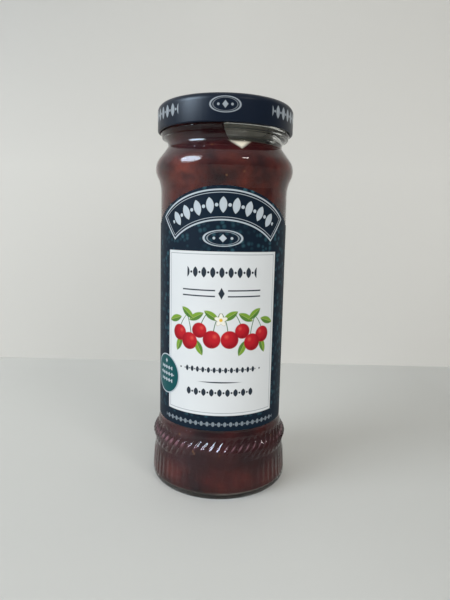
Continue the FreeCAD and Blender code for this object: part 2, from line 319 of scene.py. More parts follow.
@dataclass
class Plane:
    """A place on a printed surface, in millimetres across and up."""

    u: Wire
    v: Wire

    def at(self, u: float, v: float, turn: float = 0.0) -> "Plane":
        """Return this place as seen from a motif's own centre and turn.

        Args:
            u: the motif's centre across.
            v: the motif's centre up.
            turn: the motif's turn in degrees, counter-clockwise.
        """
        across, up = self.u - u, self.v - v
        if turn == 0.0:
            return Plane(across, up)
        c, s = math.cos(math.radians(turn)), math.sin(math.radians(turn))
        return Plane(across * c + up * s, up * c - across * s)

    def length(self) -> Wire:
        """Give the distance from the centre."""
        net = self.u.net
        return net.math("SQRT", self.u * self.u + self.v * self.v)

    def angle(self) -> Wire:
        """Give the angle round the centre, zero towards up."""
        return self.u.net.math("ARCTAN2", self.u, self.v)

    def polar(self) -> tuple[Wire, Wire]:
        """Give the distance and the angle."""
        return self.length(), self.angle()

    def repeat(self, pitch: float) -> "Plane":
        """Repeat what lies across, once each pitch."""
        return Plane(self.u.wrap(pitch), self.v)

    def box(self, half_width: float, half_height: float) -> Wire:
        """Give the signed distance to a rectangle."""
        return (self.u.abs() - half_width).max(self.v.abs() - half_height)

    def disc(self, radius: float) -> Wire:
        """Give the signed distance to a disc."""
        return self.length() - radius

    def lozenge(self, half_width: float, half_height: float) -> Wire:
        """Give about the signed distance to a diamond."""
        scale = half_width * half_height / math.hypot(half_width, half_height)
        return (self.u.abs() / half_width + self.v.abs() / half_height - 1.0) * scale

    def leaf(self, half_width: float, half_height: float) -> Wire:
        """Give the signed distance to an upright leaf with two pointed ends."""
        radius = (half_width ** 2 + half_height ** 2) / (2 * half_width)
        across = self.u.abs() + (radius - half_width)
        return self.u.net.math("SQRT", across * across + self.v * self.v) - radius

    def petals(self, count: int, reach: float, swing: float) -> Wire:
        """Give about the signed distance to a flower or star of rounded petals."""
        length, angle = self.polar()
        return length - ((angle * float(count)).cos() * swing + reach)


def cover(distance: Wire, soft: float = 0.16) -> Wire:
    """Turn a signed distance into a mask that is 1 inside, with a soft edge."""
    return distance.net.math("MULTIPLY_ADD", distance, -1.0 / soft, 0.5, clamp=True)


def line(distance: Wire, width: float) -> Wire:
    """Turn a signed distance into a mask of its outline."""
    return cover(distance.abs() - width / 2)


def shader_group(name: str, inputs: dict[str, Union[float, Colour]], outputs: dict[str, str],
                 build: Callable[[Net, dict[str, Wire]], dict[str, Wire]]) -> bpy.types.NodeTree:
    """Build a shader node group once.

    Args:
        name: the group's name.
        inputs: each input's name and default.
        outputs: each output's name and socket type.
        build: makes the nodes from the inputs and returns the outputs.

    Returns:
        The node group.
    """
    if name in bpy.data.node_groups:
        return bpy.data.node_groups[name]
    tree = bpy.data.node_groups.new(name, "ShaderNodeTree")
    for label, default in inputs.items():
        kind = "NodeSocketFloat" if isinstance(default, (int, float)) else "NodeSocketColor"
        socket = tree.interface.new_socket(label, in_out="INPUT", socket_type=kind)
        socket.default_value = default
    for label, kind in outputs.items():
        tree.interface.new_socket(label, in_out="OUTPUT", socket_type=kind)
    net = Net(tree)
    entry = net.node("NodeGroupInput")
    result = build(net, {label: Wire(net, entry.outputs[label]) for label in inputs})
    leave = net.node("NodeGroupOutput")
    for label, value in result.items():
        net.feed(leave.inputs[label], value)
    return tree


def use_group(net: Net, tree: bpy.types.NodeTree, **values: object) -> dict[str, Wire]:
    """Place a node group with its own values and return its outputs by name."""
    node = net.node("ShaderNodeGroup", node_tree=tree)
    for label, value in values.items():
        net.feed(node.inputs[label.replace("_", " ")], value)
    return {socket.name: Wire(net, socket) for socket in node.outputs}


def object_place(net: Net) -> tuple[Wire, Wire, Wire]:
    """Give the object coordinates in millimetres."""
    split = net.node("ShaderNodeSeparateXYZ")
    net.feed(split.inputs[0], net.node("ShaderNodeTexCoord").outputs["Object"])
    return tuple(Wire(net, socket) * 1000.0 for socket in split.outputs)


def unrolled(net: Net, radius: float) -> Plane:
    """Give the place on a cylinder about Z, unrolled, with the front at zero."""
    x, y, z = object_place(net)
    return Plane(net.math("ARCTAN2", x, y * -1.0) * radius, z)


# ----------------------------------------------------------------------------- shared effects


def grain_group() -> bpy.types.NodeTree:
    """Build the shared fine unevenness: a mask in 0 to 1 at a chosen size in millimetres."""
    def build(net: Net, given: dict[str, Wire]) -> dict[str, Wire]:
        """Make one noise texture on object coordinates."""
        noise_node = net.node("ShaderNodeTexNoise")
        net.feed(noise_node.inputs["Vector"], net.node("ShaderNodeTexCoord").outputs["Object"])
        net.feed(noise_node.inputs["Scale"], net.math("DIVIDE", 1000.0, given["Size"]))
        net.feed(noise_node.inputs["Detail"], 3.0)
        spread = (Wire(net, noise_node.outputs["Fac"]) - 0.5) * given["Contrast"] + 0.5
        return {"Mask": net.math("MAXIMUM", spread, 0.0, clamp=True)}
    return shader_group("grain", {"Size": 1.0, "Contrast": 1.0}, {"Mask": "NodeSocketFloat"}, build)


def grain(net: Net, size: float, contrast: float) -> Wire:
    """Place the shared unevenness at a size in millimetres and return its mask."""
    return use_group(net, grain_group(), Size=size, Contrast=contrast)["Mask"]


class Finish:
    """A material made from a Principled shader, whose inputs follow the surface."""

    def __init__(self, name: str, roughness: float, specular: float) -> None:
        """Start the material with its plain numbers."""
        self.material = bpy.data.materials.new(name)
        self.material.use_nodes = True
        self.net = Net(self.material.node_tree)
        self.shader = self.material.node_tree.nodes["Principled BSDF"]
        self.shader.inputs["Roughness"].default_value = roughness
        self.shader.inputs["Specular IOR Level"].default_value = specular

    def colour(self, value: object) -> None:
        """Set or link the base colour."""
        self.net.feed(self.shader.inputs["Base Color"], value)

    def bump(self, height: Wire, depth: float) -> None:
        """Give the surface relief from a height of 0 to 1, depth in millimetres."""
        node = self.net.node("ShaderNodeBump")
        node.inputs["Strength"].default_value = 1.0
        node.inputs["Distance"].default_value = depth * MM
        self.net.feed(node.inputs["Height"], height)
        self.net.feed(self.shader.inputs["Normal"], node.outputs[0])

    def dress(self, piece: bpy.types.Object) -> None:
        """Put the material on a piece."""
        piece.data.materials.clear()
        piece.data.materials.append(self.material)


def finished(piece: bpy.types.Object, node: str) -> None:
    """Hand a finished piece to the frame: its body and the node it stands for."""
    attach(piece, "root")
    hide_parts(node)
    LOG.info("%s: %d faces", piece.name, len(piece.data.polygons))


# ----------------------------------------------------------------------------- glass


def geometry_tree(name: str, inputs: dict[str, float], material: bpy.types.Material,
                  build: Callable[[Net, Wire, dict[str, Wire]], object]) -> bpy.types.NodeTree:
    """Build a geometry tree that ends in Realize Instances and Set Material.

    Args:
        name: the tree's name.
        inputs: each named number and its default.
        material: the material set at the end.
        build: makes the nodes from the incoming geometry and the inputs, and returns the
            geometry to finish.

    Returns:
        The tree.
    """
    tree = bpy.data.node_groups.new(name, "GeometryNodeTree")
    tree.interface.new_socket("Geometry", in_out="INPUT", socket_type="NodeSocketGeometry")
    tree.interface.new_socket("Geometry", in_out="OUTPUT", socket_type="NodeSocketGeometry")
    for label, default in inputs.items():
        socket = tree.interface.new_socket(label, in_out="INPUT", socket_type="NodeSocketFloat")
        socket.default_value = default
    net = Net(tree)
    entry = net.node("NodeGroupInput")
    given = {label: Wire(net, entry.outputs[label]) for label in inputs}
    shape = build(net, Wire(net, entry.outputs["Geometry"]), given)
    realize = net.node("GeometryNodeRealizeInstances")
    net.feed(realize.inputs[0], shape)
    paint = net.node("GeometryNodeSetMaterial")
    net.feed(paint.inputs["Geometry"], realize.outputs[0])
    paint.inputs["Material"].default_value = material
    net.feed(net.node("NodeGroupOutput").inputs[0], paint.outputs[0])
    return tree


def grown(piece: bpy.types.Object, tree: bpy.types.NodeTree, **values: float) -> bpy.types.Object:
    """Run a geometry tree on a piece and keep the result as its plain mesh.

    Args:
        piece: the piece that carries the tree.
        tree: the geometry tree.
        values: its named inputs.

    Returns:
        The piece, with its new mesh and no modifier.
    """
    modifier = piece.modifiers.new(tree.name, "NODES")
    modifier.node_group = tree
    by_name = {item.name: item.identifier for item in tree.interface.items_tree
               if item.item_type == "SOCKET" and item.in_out == "INPUT"}
    for label, value in values.items():
        modifier[by_name[label]] = value
    ready = piece.evaluated_get(bpy.context.evaluated_depsgraph_get())
    mesh = bpy.data.meshes.new_from_object(ready)
    piece.modifiers.remove(modifier)
    old, piece.data = piece.data, mesh
    bpy.data.meshes.remove(old)
    piece.data.name = piece.name
    return piece


class GlassFinish(Finish):
    """Clear, very faintly green soda glass."""

    def __init__(self) -> None:
        """Set the glass up."""
        super().__init__("clear_glass", roughness=0.02, specular=0.1)
        self.shader.inputs["Transmission Weight"].default_value = 1.0
        self.shader.inputs["IOR"].default_value = 1.4
        self.colour((0.95, 0.965, 0.945, 1.0))
        self.bump(grain(self.net, 9.0, 0.8), 0.05)


@dataclass
class GlassJar:
    """The jar's one wall of glass, with its pressed flutes and twisted bead."""

    sizes: JarSizes = SIZES
    segments: int = 480
    flutes: int = 60
    flute_depth: float = 0.22
    strands: int = 56
    strand_depth: float = 0.95
    strand_slant: float = 38.0
    crest_rise: float = 0.35
    flank_depth: float = 0.5

    def outside(self) -> list[tuple[float, float]]:
        """Return the outer outline, from the middle of the push-up to the rim."""
        s = self.sizes
        return rounded([
            (0, s.push_up_z, 0), (s.foot - 9.05, s.push_up_z, 1.0), (s.foot - 6.65, 0, 1.0),
            (s.foot, 0, 3.3), (s.foot_top, s.foot_top_z, 1.0), (s.notch, s.notch_z, 0.4),
            (s.bead, s.bead_z, 9.0), (s.panel, s.panel_foot_z, 1.0), (s.panel, s.panel_top_z, 13.2),
            (s.shoulder, s.shoulder_z, 6.8), (s.neck, s.neck_z, 2.2),
            (s.ledge, s.ledge_z, 0.4), (s.ledge + 0.9, s.ledge_z, 0.4),
            (s.ledge + 0.9, s.ledge_z + 0.8, 0.3),
            (s.collar, s.collar_z, 0.6),
            (s.finish, s.finish_foot_z, 0), (s.finish, s.rim_z, 1.0), (s.mouth + 1.0, s.rim_z, 0),
        ])

    def inside(self) -> list[tuple[float, float]]:
        """Return the inner outline, from the rim down to the middle of the floor."""
        s = self.sizes
        return rounded([(s.mouth + 1.0, s.rim_z, 0), (s.mouth, s.rim_z, 1.0),
                        (s.mouth, s.finish_foot_z, 2.2)] + inside_corners(s)[::-1] + [(0, s.floor_z, 0)])

    def wall(self) -> bpy.types.Object:
        """Turn the wall, with short runs where the pattern is pressed."""
        outer = refine(self.outside(), 1.1)
        inner = refine(self.inside(), 4.0)
        return turned("glass_wall", outer + inner[1:], self.segments)

    def pattern(self, material: bpy.types.Material) -> bpy.types.NodeTree:
        """Build the tree that presses the flutes and the strands into the outside."""
        s = self.sizes

        def build(net: Net, geometry: Wire, given: dict[str, Wire]) -> object:
            """Move each outer point in along its radius by the depth of the pattern there."""
            split = net.node("ShaderNodeSeparateXYZ")
            net.feed(split.inputs[0], net.node("GeometryNodeInputPosition").outputs[0])
            x, y, z = (Wire(net, socket) * 1000.0 for socket in split.outputs)
            reach = Plane(x, y).length()
            around = net.math("ARCTAN2", x, y * -1.0)
            outer = reach.above(s.panel + 0.5)
            flute = (around * given["Flutes"]).cos() * 0.5 + 0.5
            fluted = zone(z, 3.6, s.foot_top_z + 1.2, 1.3) * outer
            flute = net.math("POWER", flute, 1.6) * fluted * given["Flute depth"]
            lean = math.tan(math.radians(self.strand_slant)) / s.bead
            phase = (around - (z - s.bead_z) * lean) * given["Strands"] * 0.5
            valley = 0.5 - (phase * 2.0).cos() * 0.5
            valley = valley * zone(z, s.notch_z + 0.6, s.panel_foot_z - 1.8, 2.2) * outer
            crest = net.math("EXPONENT", (z - (s.bead_z + 0.3)).squared(2.0) * -1.0)
            bead = zone(z, s.notch_z + 0.6, s.panel_foot_z - 1.2, 1.8) * outer
            press = flute + valley * given["Strand depth"] + (1.0 - crest) * bead * given["Flank depth"]
            press = press - (1.0 - valley) * crest * given["Crest rise"]
            scale = (press / reach) * -1.0 * MM
            offset = net.node("ShaderNodeCombineXYZ")
            net.feed(offset.inputs[0], x * scale)
            net.feed(offset.inputs[1], y * scale)
            move = net.node("GeometryNodeSetPosition")
            net.feed(move.inputs["Geometry"], geometry)
            net.feed(move.inputs["Offset"], offset.outputs[0])
            return move.outputs[0]

        return geometry_tree("pressed_pattern", self.depths(), material, build)

    def depths(self) -> dict[str, float]:
        """Return the pattern's named inputs."""
        return {"Flutes": float(self.flutes), "Flute depth": self.flute_depth,
                "Strands": float(self.strands), "Strand depth": self.strand_depth,
                "Crest rise": self.crest_rise, "Flank depth": self.flank_depth}

    def build(self) -> bpy.types.Object:
        """Make the finished glass."""
        finish = GlassFinish()
        piece = self.wall()
        grown(piece, self.pattern(finish.material), **self.depths())
        piece.visible_shadow = False
        finish.dress(piece)
        finished(piece, "jar_glass")
        return piece


def zone(height: Wire, low: float, high: float, fade: float) -> Wire:
    """Give 1 between two heights, fading to 0 over a given distance inside each end."""
    net = height.net
    up = net.math("DIVIDE", height - low, fade, clamp=True)
    down = net.math("DIVIDE", high - height, fade, clamp=True)
    return up.min(down)


def inside_corners(s: JarSizes, into: float = 0.0) -> list[Corner]:
    """Return the corners of the inner wall from the floor to the neck.

    Args:
        s: the jar's sizes.
        into: how far to move them out into the glass, in millimetres.
    """
    foot, panel = s.foot - s.foot_wall + into, s.panel - s.panel_wall + into
    return [(foot, s.floor_z - into, 3.2), (foot - into / 2, s.bead_z, 9.0),
            (panel, s.panel_foot_z + s.panel_wall, 9.0), (panel, s.panel_top_z, 13.2),
            (s.shoulder - s.shoulder_wall + into, s.shoulder_z, 5.3),
            (s.neck - s.neck_wall + into, s.neck_z, 2.2)]


# ----------------------------------------------------------------------------- jam


class JamFinish(Finish):
    """Dark red-brown fruit jam with lumps of fruit, clearer syrup and fine seeds, with painted light and
    shade laid in its colour.
    """

    deep, body, lit = srgb(30, 9, 13), srgb(62, 20, 21), srgb(128, 54, 36)
    shade, seed, gleam = srgb(30, 9, 14), srgb(150, 104, 58), srgb(168, 122, 134)
    # The pale foot band and the pale pocket colour are painted light: light caught in the glass heel, and
    # light seen through the neck's air pocket.
    foot_band, froth = srgb(138, 130, 120), srgb(224, 214, 196)
    # Heights (low, high, fade) of the shoulder, where the paler pulp is laid as painted light.
    shoulder = (112.0, 134.0, 5.0)
    # Heights (low, high, fade, share) of painted shade: behind the bead, at the label's top edge and in the
    # neck.
    shaded = ((8.0, 29.0, 6.0, 0.7), (107.0, 127.0, 7.0, 0.45), (130.0, 150.0, 3.0, 0.5))
    heel_light_zone = (0.0, 3.1, 0.9)

    def __init__(self, sizes: JarSizes) -> None:
        """Mix the lumps, paler on the shoulder as painted light, then lay painted shade behind the bead, the
        label's edge and the neck, painted highlights behind the strands, and painted light at the foot and
        in the neck's pocket.
        """
        super().__init__("jam", roughness=0.5, specular=0.04)
        net = self.net
        lumps = grain(net, 12.0, 3.2)
        pulp = grain(net, 4.2, 2.0)
        height = object_place(net)[2]
        # Painted light: the paler pulp shows mostly on the shoulder, where light falls from above.
        shoulder_light = zone(height, *self.shoulder) * 0.7 + 0.3
        tone = net.mix(lumps, self.deep, self.body)
        tone = net.mix(pulp * lumps * shoulder_light * 0.8, tone, self.lit)
        dims = [zone(height, low, high, fade) * share for low, high, fade, share in self.shaded]
        tone = net.mix(dims[0].max(dims[1]).max(dims[2]), tone, self.shade)
        tone = net.mix(self.seeds(), tone, self.seed)
        # Painted highlights: pale spots behind the bead's strands.
        tone = net.mix(self.gleams(sizes), tone, self.gleam)
        # Painted light: a pale band at the jam's foot, for the light caught in the glass heel.
        tone = net.mix(zone(height, *self.heel_light_zone) * 0.7, tone, self.foot_band)
        # Painted light: the pale wedge of the air pocket, where light shows through the clear neck.
        self.colour(net.mix(self.pocket(sizes), tone, self.froth))
        self.bump(pulp, 0.2)

    def gleams(self, sizes: JarSizes) -> Wire:
        """Give painted highlights: a pale spot on the jam behind each of the bead's strands."""
        x, y, z = object_place(self.net)
        around = self.net.math("ARCTAN2", x, y * -1.0)
        rise = z - (sizes.bead_z + 0.8)
        lean = math.tan(math.radians(GlassJar.strand_slant)) / sizes.bead
        crest = ((around - rise * lean) * (GlassJar.strands / 2)).cos().squared()
        spots = self.net.math("POWER", crest, 5.0) * self.net.math("EXPONENT", rise.squared(0.9) * -1.0)
        return spots * 0.5

    def seeds(self) -> Wire:
        """Give a mask of small pale seeds, thinly strewn."""
        net, pitch, radius = self.net, 5.0, 0.4
        cells = net.node("ShaderNodeTexVoronoi")
        net.feed(cells.inputs["Vector"], net.node("ShaderNodeTexCoord").outputs["Object"])
        cells.inputs["Scale"].default_value = 1000.0 / pitch
        return cover(Wire(net, cells.outputs["Distance"]) * pitch - radius, 0.3) * 0.35

    def pocket(self, sizes: JarSizes) -> Wire:
        """Give a mask of the wedge where the jam has drawn away from the neck, painted pale as the light
        seen through the empty neck there.
        """
        place = unrolled(self.net, sizes.neck).at(5.8, 134.0)
        slope, tall = 0.75, 2.7
        sides = (place.u.abs() * slope - place.v) / math.hypot(1.0, slope)
        return cover(sides.max(place.v - tall), 1.0)


@dataclass
class Jam:
    """The jam, a little into the glass all round, smeared up one side of the neck."""

    sizes: JarSizes = SIZES
    columns: int = 192
    into: float = 1.0
    smear_z: float = 147.0
    smear_turn: float = -0.5
    smear_fade: float = 3.9
    back_turn: float = -176.0
    back_fade: float = 7.0
    ring_low_z: float = 1.8
    floor_gap: float = 0.6
    climb_from: float = 0.8
    rows_side: int = 72
    rows_top: int = 26

    def crest(self, turn: float) -> float:
        """Return how high the jam stands against the glass at a turn from the front, in degrees."""
        angle, spread = math.radians(turn), 2.2
        ripple = 0.35 * noise.noise(Vector((math.cos(angle) * spread, math.sin(angle) * spread, 3.1)))
        low = self.sizes.jam_z + 0.5 + ripple
        front, back = (self.smear_turn - turn) / self.smear_fade, (turn - self.back_turn) / self.back_fade
        share = 0.5 + 0.5 * math.tanh(front if turn > -90 else back)
        return low + (self.smear_z - low) * share

    def profile(self) -> list[tuple[float, float]]:
        """Return the jam's side, from the floor up to the highest smear."""
        s = self.sizes
        floor, ring_low = s.floor_z - self.floor_gap, self.ring_low_z
        corners = [(0, floor, 0), (s.foot - 9.0, floor, 0.5), (s.foot - 7.0, ring_low, 0.5),
                   (s.foot - s.foot_wall + self.into, ring_low, 2.6)] + inside_corners(s, self.into)[1:]
        corners += [(s.mouth + self.into, s.finish_foot_z, 2.2), (s.mouth + self.into, self.smear_z + 1, 0)]
        return refine(rounded(corners), 2.5)

    def build(self) -> bpy.types.Object:
        """Make the jam: its side up to the crest at each column, then its top, in to the middle."""
        side = self.profile()
        lengths = [0.0]
        for (r0, z0), (r1, z1) in zip(side, side[1:]):
            lengths.append(lengths[-1] + math.hypot(r1 - r0, z1 - z0))
        vertices, faces = [Vector((0, 0, side[0][1])) * MM], []
        grid: list[list[int]] = []
        for column in range(self.columns):
            turn = 360.0 * column / self.columns
            signed = turn if turn <= 180 else turn - 360
            crest = self.crest(signed)
            end = crest_length(side, lengths, crest)
            ring = []
            for row in range(1, self.rows_side + 1):
                radius, height = along(side, lengths, end * row / self.rows_side)
                ring.append(self.point(turn, radius, height, vertices))
            edge_radius = radius
            for row in range(1, self.rows_top):
                share = 1 - row / self.rows_top
                ring.append(self.point(turn, edge_radius * share,
                                       self.top(turn, edge_radius * share, share, crest), vertices))
            grid.append(ring)
        vertices.append(Vector((0, 0, self.top(0, 0, 0, 0))) * MM)
        last = len(vertices) - 1
        for column in range(self.columns):
            here, after = grid[column], grid[(column + 1) % self.columns]
            faces.append((0, after[0], here[0]))
            faces += [(here[i], after[i], after[i + 1], here[i + 1]) for i in range(len(here) - 1)]
            faces.append((here[-1], after[-1], last))
        piece = mesh_object("jam_fill", vertices, faces)
        point_outwards(piece)
        JamFinish(self.sizes).dress(piece)
        finished(piece, "jam")
        return piece

    def top(self, turn: float, radius: float, share: float, crest: float) -> float:
        """Return the height of the jam's top, which climbs to the crest near the wall."""
        x, y = radius * math.sin(math.radians(turn)), -radius * math.cos(math.radians(turn))
        swell = 0.5 * noise.noise(Vector((x * 0.16, y * 0.16, 0.7)))
        swell += 0.2 * noise.noise(Vector((x * 0.5, y * 0.5, 4.7)))
        level = self.sizes.jam_z - 0.3 + swell
        climb = max(0.0, (share - self.climb_from) / (1.0 - self.climb_from)) ** 1.5
        return level + (crest - level) * climb

    @staticmethod
    def point(turn: float, radius: float, height: float, vertices: list[Vector]) -> int:
        """Add a point given by its turn, radius and height, and return its index."""
        vertices.append(on_ring(math.radians(turn), radius, height))
        return len(vertices) - 1


def crest_length(side: Sequence[tuple[float, float]], lengths: Sequence[float], height: float) -> float:
    """Return how far along an outline its last crossing of a height lies."""
    for index in range(len(side) - 1, 0, -1):
        low, high = side[index - 1][1], side[index][1]
        if low <= height <= high and high > low:
            share = (height - low) / (high - low)
            return lengths[index - 1] + share * (lengths[index] - lengths[index - 1])
    return lengths[-1]


def along(side: Sequence[tuple[float, float]], lengths: Sequence[float],
          distance: float) -> tuple[float, float]:
    """Return the point at a distance along an outline."""
    for index in range(1, len(lengths)):
        if distance <= lengths[index] + 1e-9:
            share = (distance - lengths[index - 1]) / (lengths[index] - lengths[index - 1])
            (r0, z0), (r1, z1) = side[index - 1], side[index]
            return r0 + (r1 - r0) * share, z0 + (z1 - z0) * share
    return side[-1]


# ----------------------------------------------------------------------------- print


class Ink(Enum):
    """The inks and papers of the label, the sticker and the lid."""

    NAVY = srgb(18, 32, 46)
    TEAL_FLECK = srgb(50, 88, 100)
    SILVER = srgb(186, 196, 204)
    GREY = srgb(128, 138, 146)
    PANEL = srgb(221, 224, 226)
    RULE = srgb(150, 158, 164)
    TYPE = srgb(46, 54, 64)
    BERRY = srgb(186, 34, 44)
    BERRY_DARK = srgb(140, 22, 34)
    BERRY_LIT = srgb(226, 92, 80)
    RIB = srgb(214, 206, 140)
    LEAF = srgb(122, 160, 58)
    LEAF_DARK = srgb(52, 104, 56)
    BLOSSOM = srgb(238, 236, 226)
    BLOSSOM_EDGE = srgb(196, 186, 170)
    POLLEN = srgb(228, 186, 66)
    STICKER = srgb(12, 78, 82)
    LID = srgb(8, 21, 38)
    LINING = srgb(214, 208, 190)
    LID_SILVER = srgb(150, 158, 166)


@dataclass
class Print:
    """Ink laid in layers over one paper colour."""

    net: Net
    ground: object

    def lay(self, mask: Value, ink: Union[Ink, Wire]) -> None:
        """Lay one ink over what is printed so far, where the mask is 1."""
        self.ground = self.net.mix(mask, self.ground, ink.value if isinstance(ink, Ink) else ink)


class Motifs:
    """Small generic ornaments, each laid on a print at its own centre."""

    @staticmethod
    def berry(sheet: Print, place: Plane, size: float) -> None:
        """Lay a round red berry with a shaded rim, a pale gleam and a small dark crown."""
        net = sheet.net
        length = place.length() / size
        body = cover((length - 1.0) * size, 0.3)
        sheet.lay(body, Ink.BERRY)
        away = place.at(-0.3 * size, 0.3 * size).length() / size
        shade = net.math("MULTIPLY_ADD", away, 1.5, -0.8, clamp=True)
        sheet.lay(body * shade * 0.8, Ink.BERRY_DARK)
        sheet.lay(cover(place.at(-0.35 * size, 0.35 * size).disc(size * 0.16), 1.3) * 0.8, Ink.BERRY_LIT)
        sheet.lay(cover(place.at(0, -0.78 * size).petals(5, size * 0.13, size * 0.09), 0.2), Ink.BERRY_DARK)

    @staticmethod
    def stalk(sheet: Print, place: Plane, bend: float, length: float) -> None:
        """Lay a thin green stalk that bends as it rises from a place."""
        middle = place.v / length
        across = place.u - middle * middle * bend
        ends = (place.v - length / 2).abs() - length / 2
        sheet.lay(cover((across.abs() - 0.16).max(ends)), Ink.LEAF_DARK)

    @staticmethod
    def leaf(sheet: Print, place: Plane, half_width: float, half_height: float) -> None:
        """Lay a green leaf with a pale rib and a darker half."""
        shape = cover(place.leaf(half_width, half_height), 0.25)
        sheet.lay(shape, Ink.LEAF)
        sheet.lay(shape * cover(place.u * -1.0, 0.4) * 0.6, Ink.LEAF_DARK)
        sheet.lay(shape * line(place.u, 0.12) * 0.6, Ink.RIB)

    @staticmethod
    def blossom(sheet: Print, place: Plane, size: float) -> None:
        """Lay a five-petalled white blossom with a yellow middle."""
        shape = place.petals(5, size * 0.78, size * 0.22)
        sheet.lay(cover(shape, 0.2), Ink.BLOSSOM)
        sheet.lay(line(shape, 0.2), Ink.BLOSSOM_EDGE)
        sheet.lay(cover(place.disc(size * 0.26), 0.25), Ink.POLLEN)

    @staticmethod
    def sprig(sheet: Print, place: Plane, pitch: float, height: float, reach: Wire, ink: Ink) -> None:
        """Lay a running row of upright leaves with a dot between each two.

        Args:
            sheet: the print.
            place: a place whose across runs along the row.
            pitch: from one leaf to the next.
            height: half a leaf's height.
            reach: a mask that ends the row.
            ink: its ink.
        """
        leaves = cover(place.repeat(pitch).leaf(pitch * 0.29, height))
        dots = cover(Plane((place.u + pitch / 2).wrap(pitch), place.v).disc(pitch * 0.13))
        sheet.lay(leaves.max(dots) * reach, ink)

    @staticmethod
    def medallion(sheet: Print, place: Plane, half_width: float, half_height: float, ink: Ink) -> None:
        """Lay an oval outline with a lozenge and two dots in it."""
        squash = half_height / half_width
        length = Plane(place.u * squash, place.v).length()
        sheet.lay(line(length - half_height, 0.3), ink)
        sheet.lay(line(length - half_height * 0.82, 0.14) * 0.7, ink)
        sheet.lay(cover(place.lozenge(half_width * 0.2, half_height * 0.5)), ink)
        sides = Plane(place.u.abs() - half_width * 0.46, place.v)
        sheet.lay(cover(sides.disc(half_height * 0.17)), ink)


def foliage_group() -> bpy.types.NodeTree:
    """Build the faint foliage flecks of the navy paper: a mask in 0 to 1."""
    def build(net: Net, given: dict[str, Wire]) -> dict[str, Wire]:
        """Break stretched cells up with a broader noise."""
        turn = net.node("ShaderNodeMapping")
        net.feed(turn.inputs["Vector"], net.node("ShaderNodeTexCoord").outputs["Object"])
        turn.inputs["Rotation"].default_value = (0.3, 0.5, 0.6)
        cells = net.node("ShaderNodeTexVoronoi")
        net.feed(cells.inputs["Vector"], turn.outputs[0])
        net.feed(cells.inputs["Scale"], net.math("DIVIDE", 1000.0, given["Size"]))
        patch = grain(net, 7.0, 3.0)
        fleck = cover(Wire(net, cells.outputs["Distance"]) - 0.34, 0.3)
        return {"Mask": fleck * patch * given["Amount"]}
    return shader_group("foliage", {"Size": 2.4, "Amount": 0.6}, {"Mask": "NodeSocketFloat"}, build)


class PaperFinish(Finish):
    """Coated paper, whose fine tooth is a grain (size, contrast) and a depth in millimetres."""

    tooth = (0.9, 1.0)
    tooth_depth = 0.012


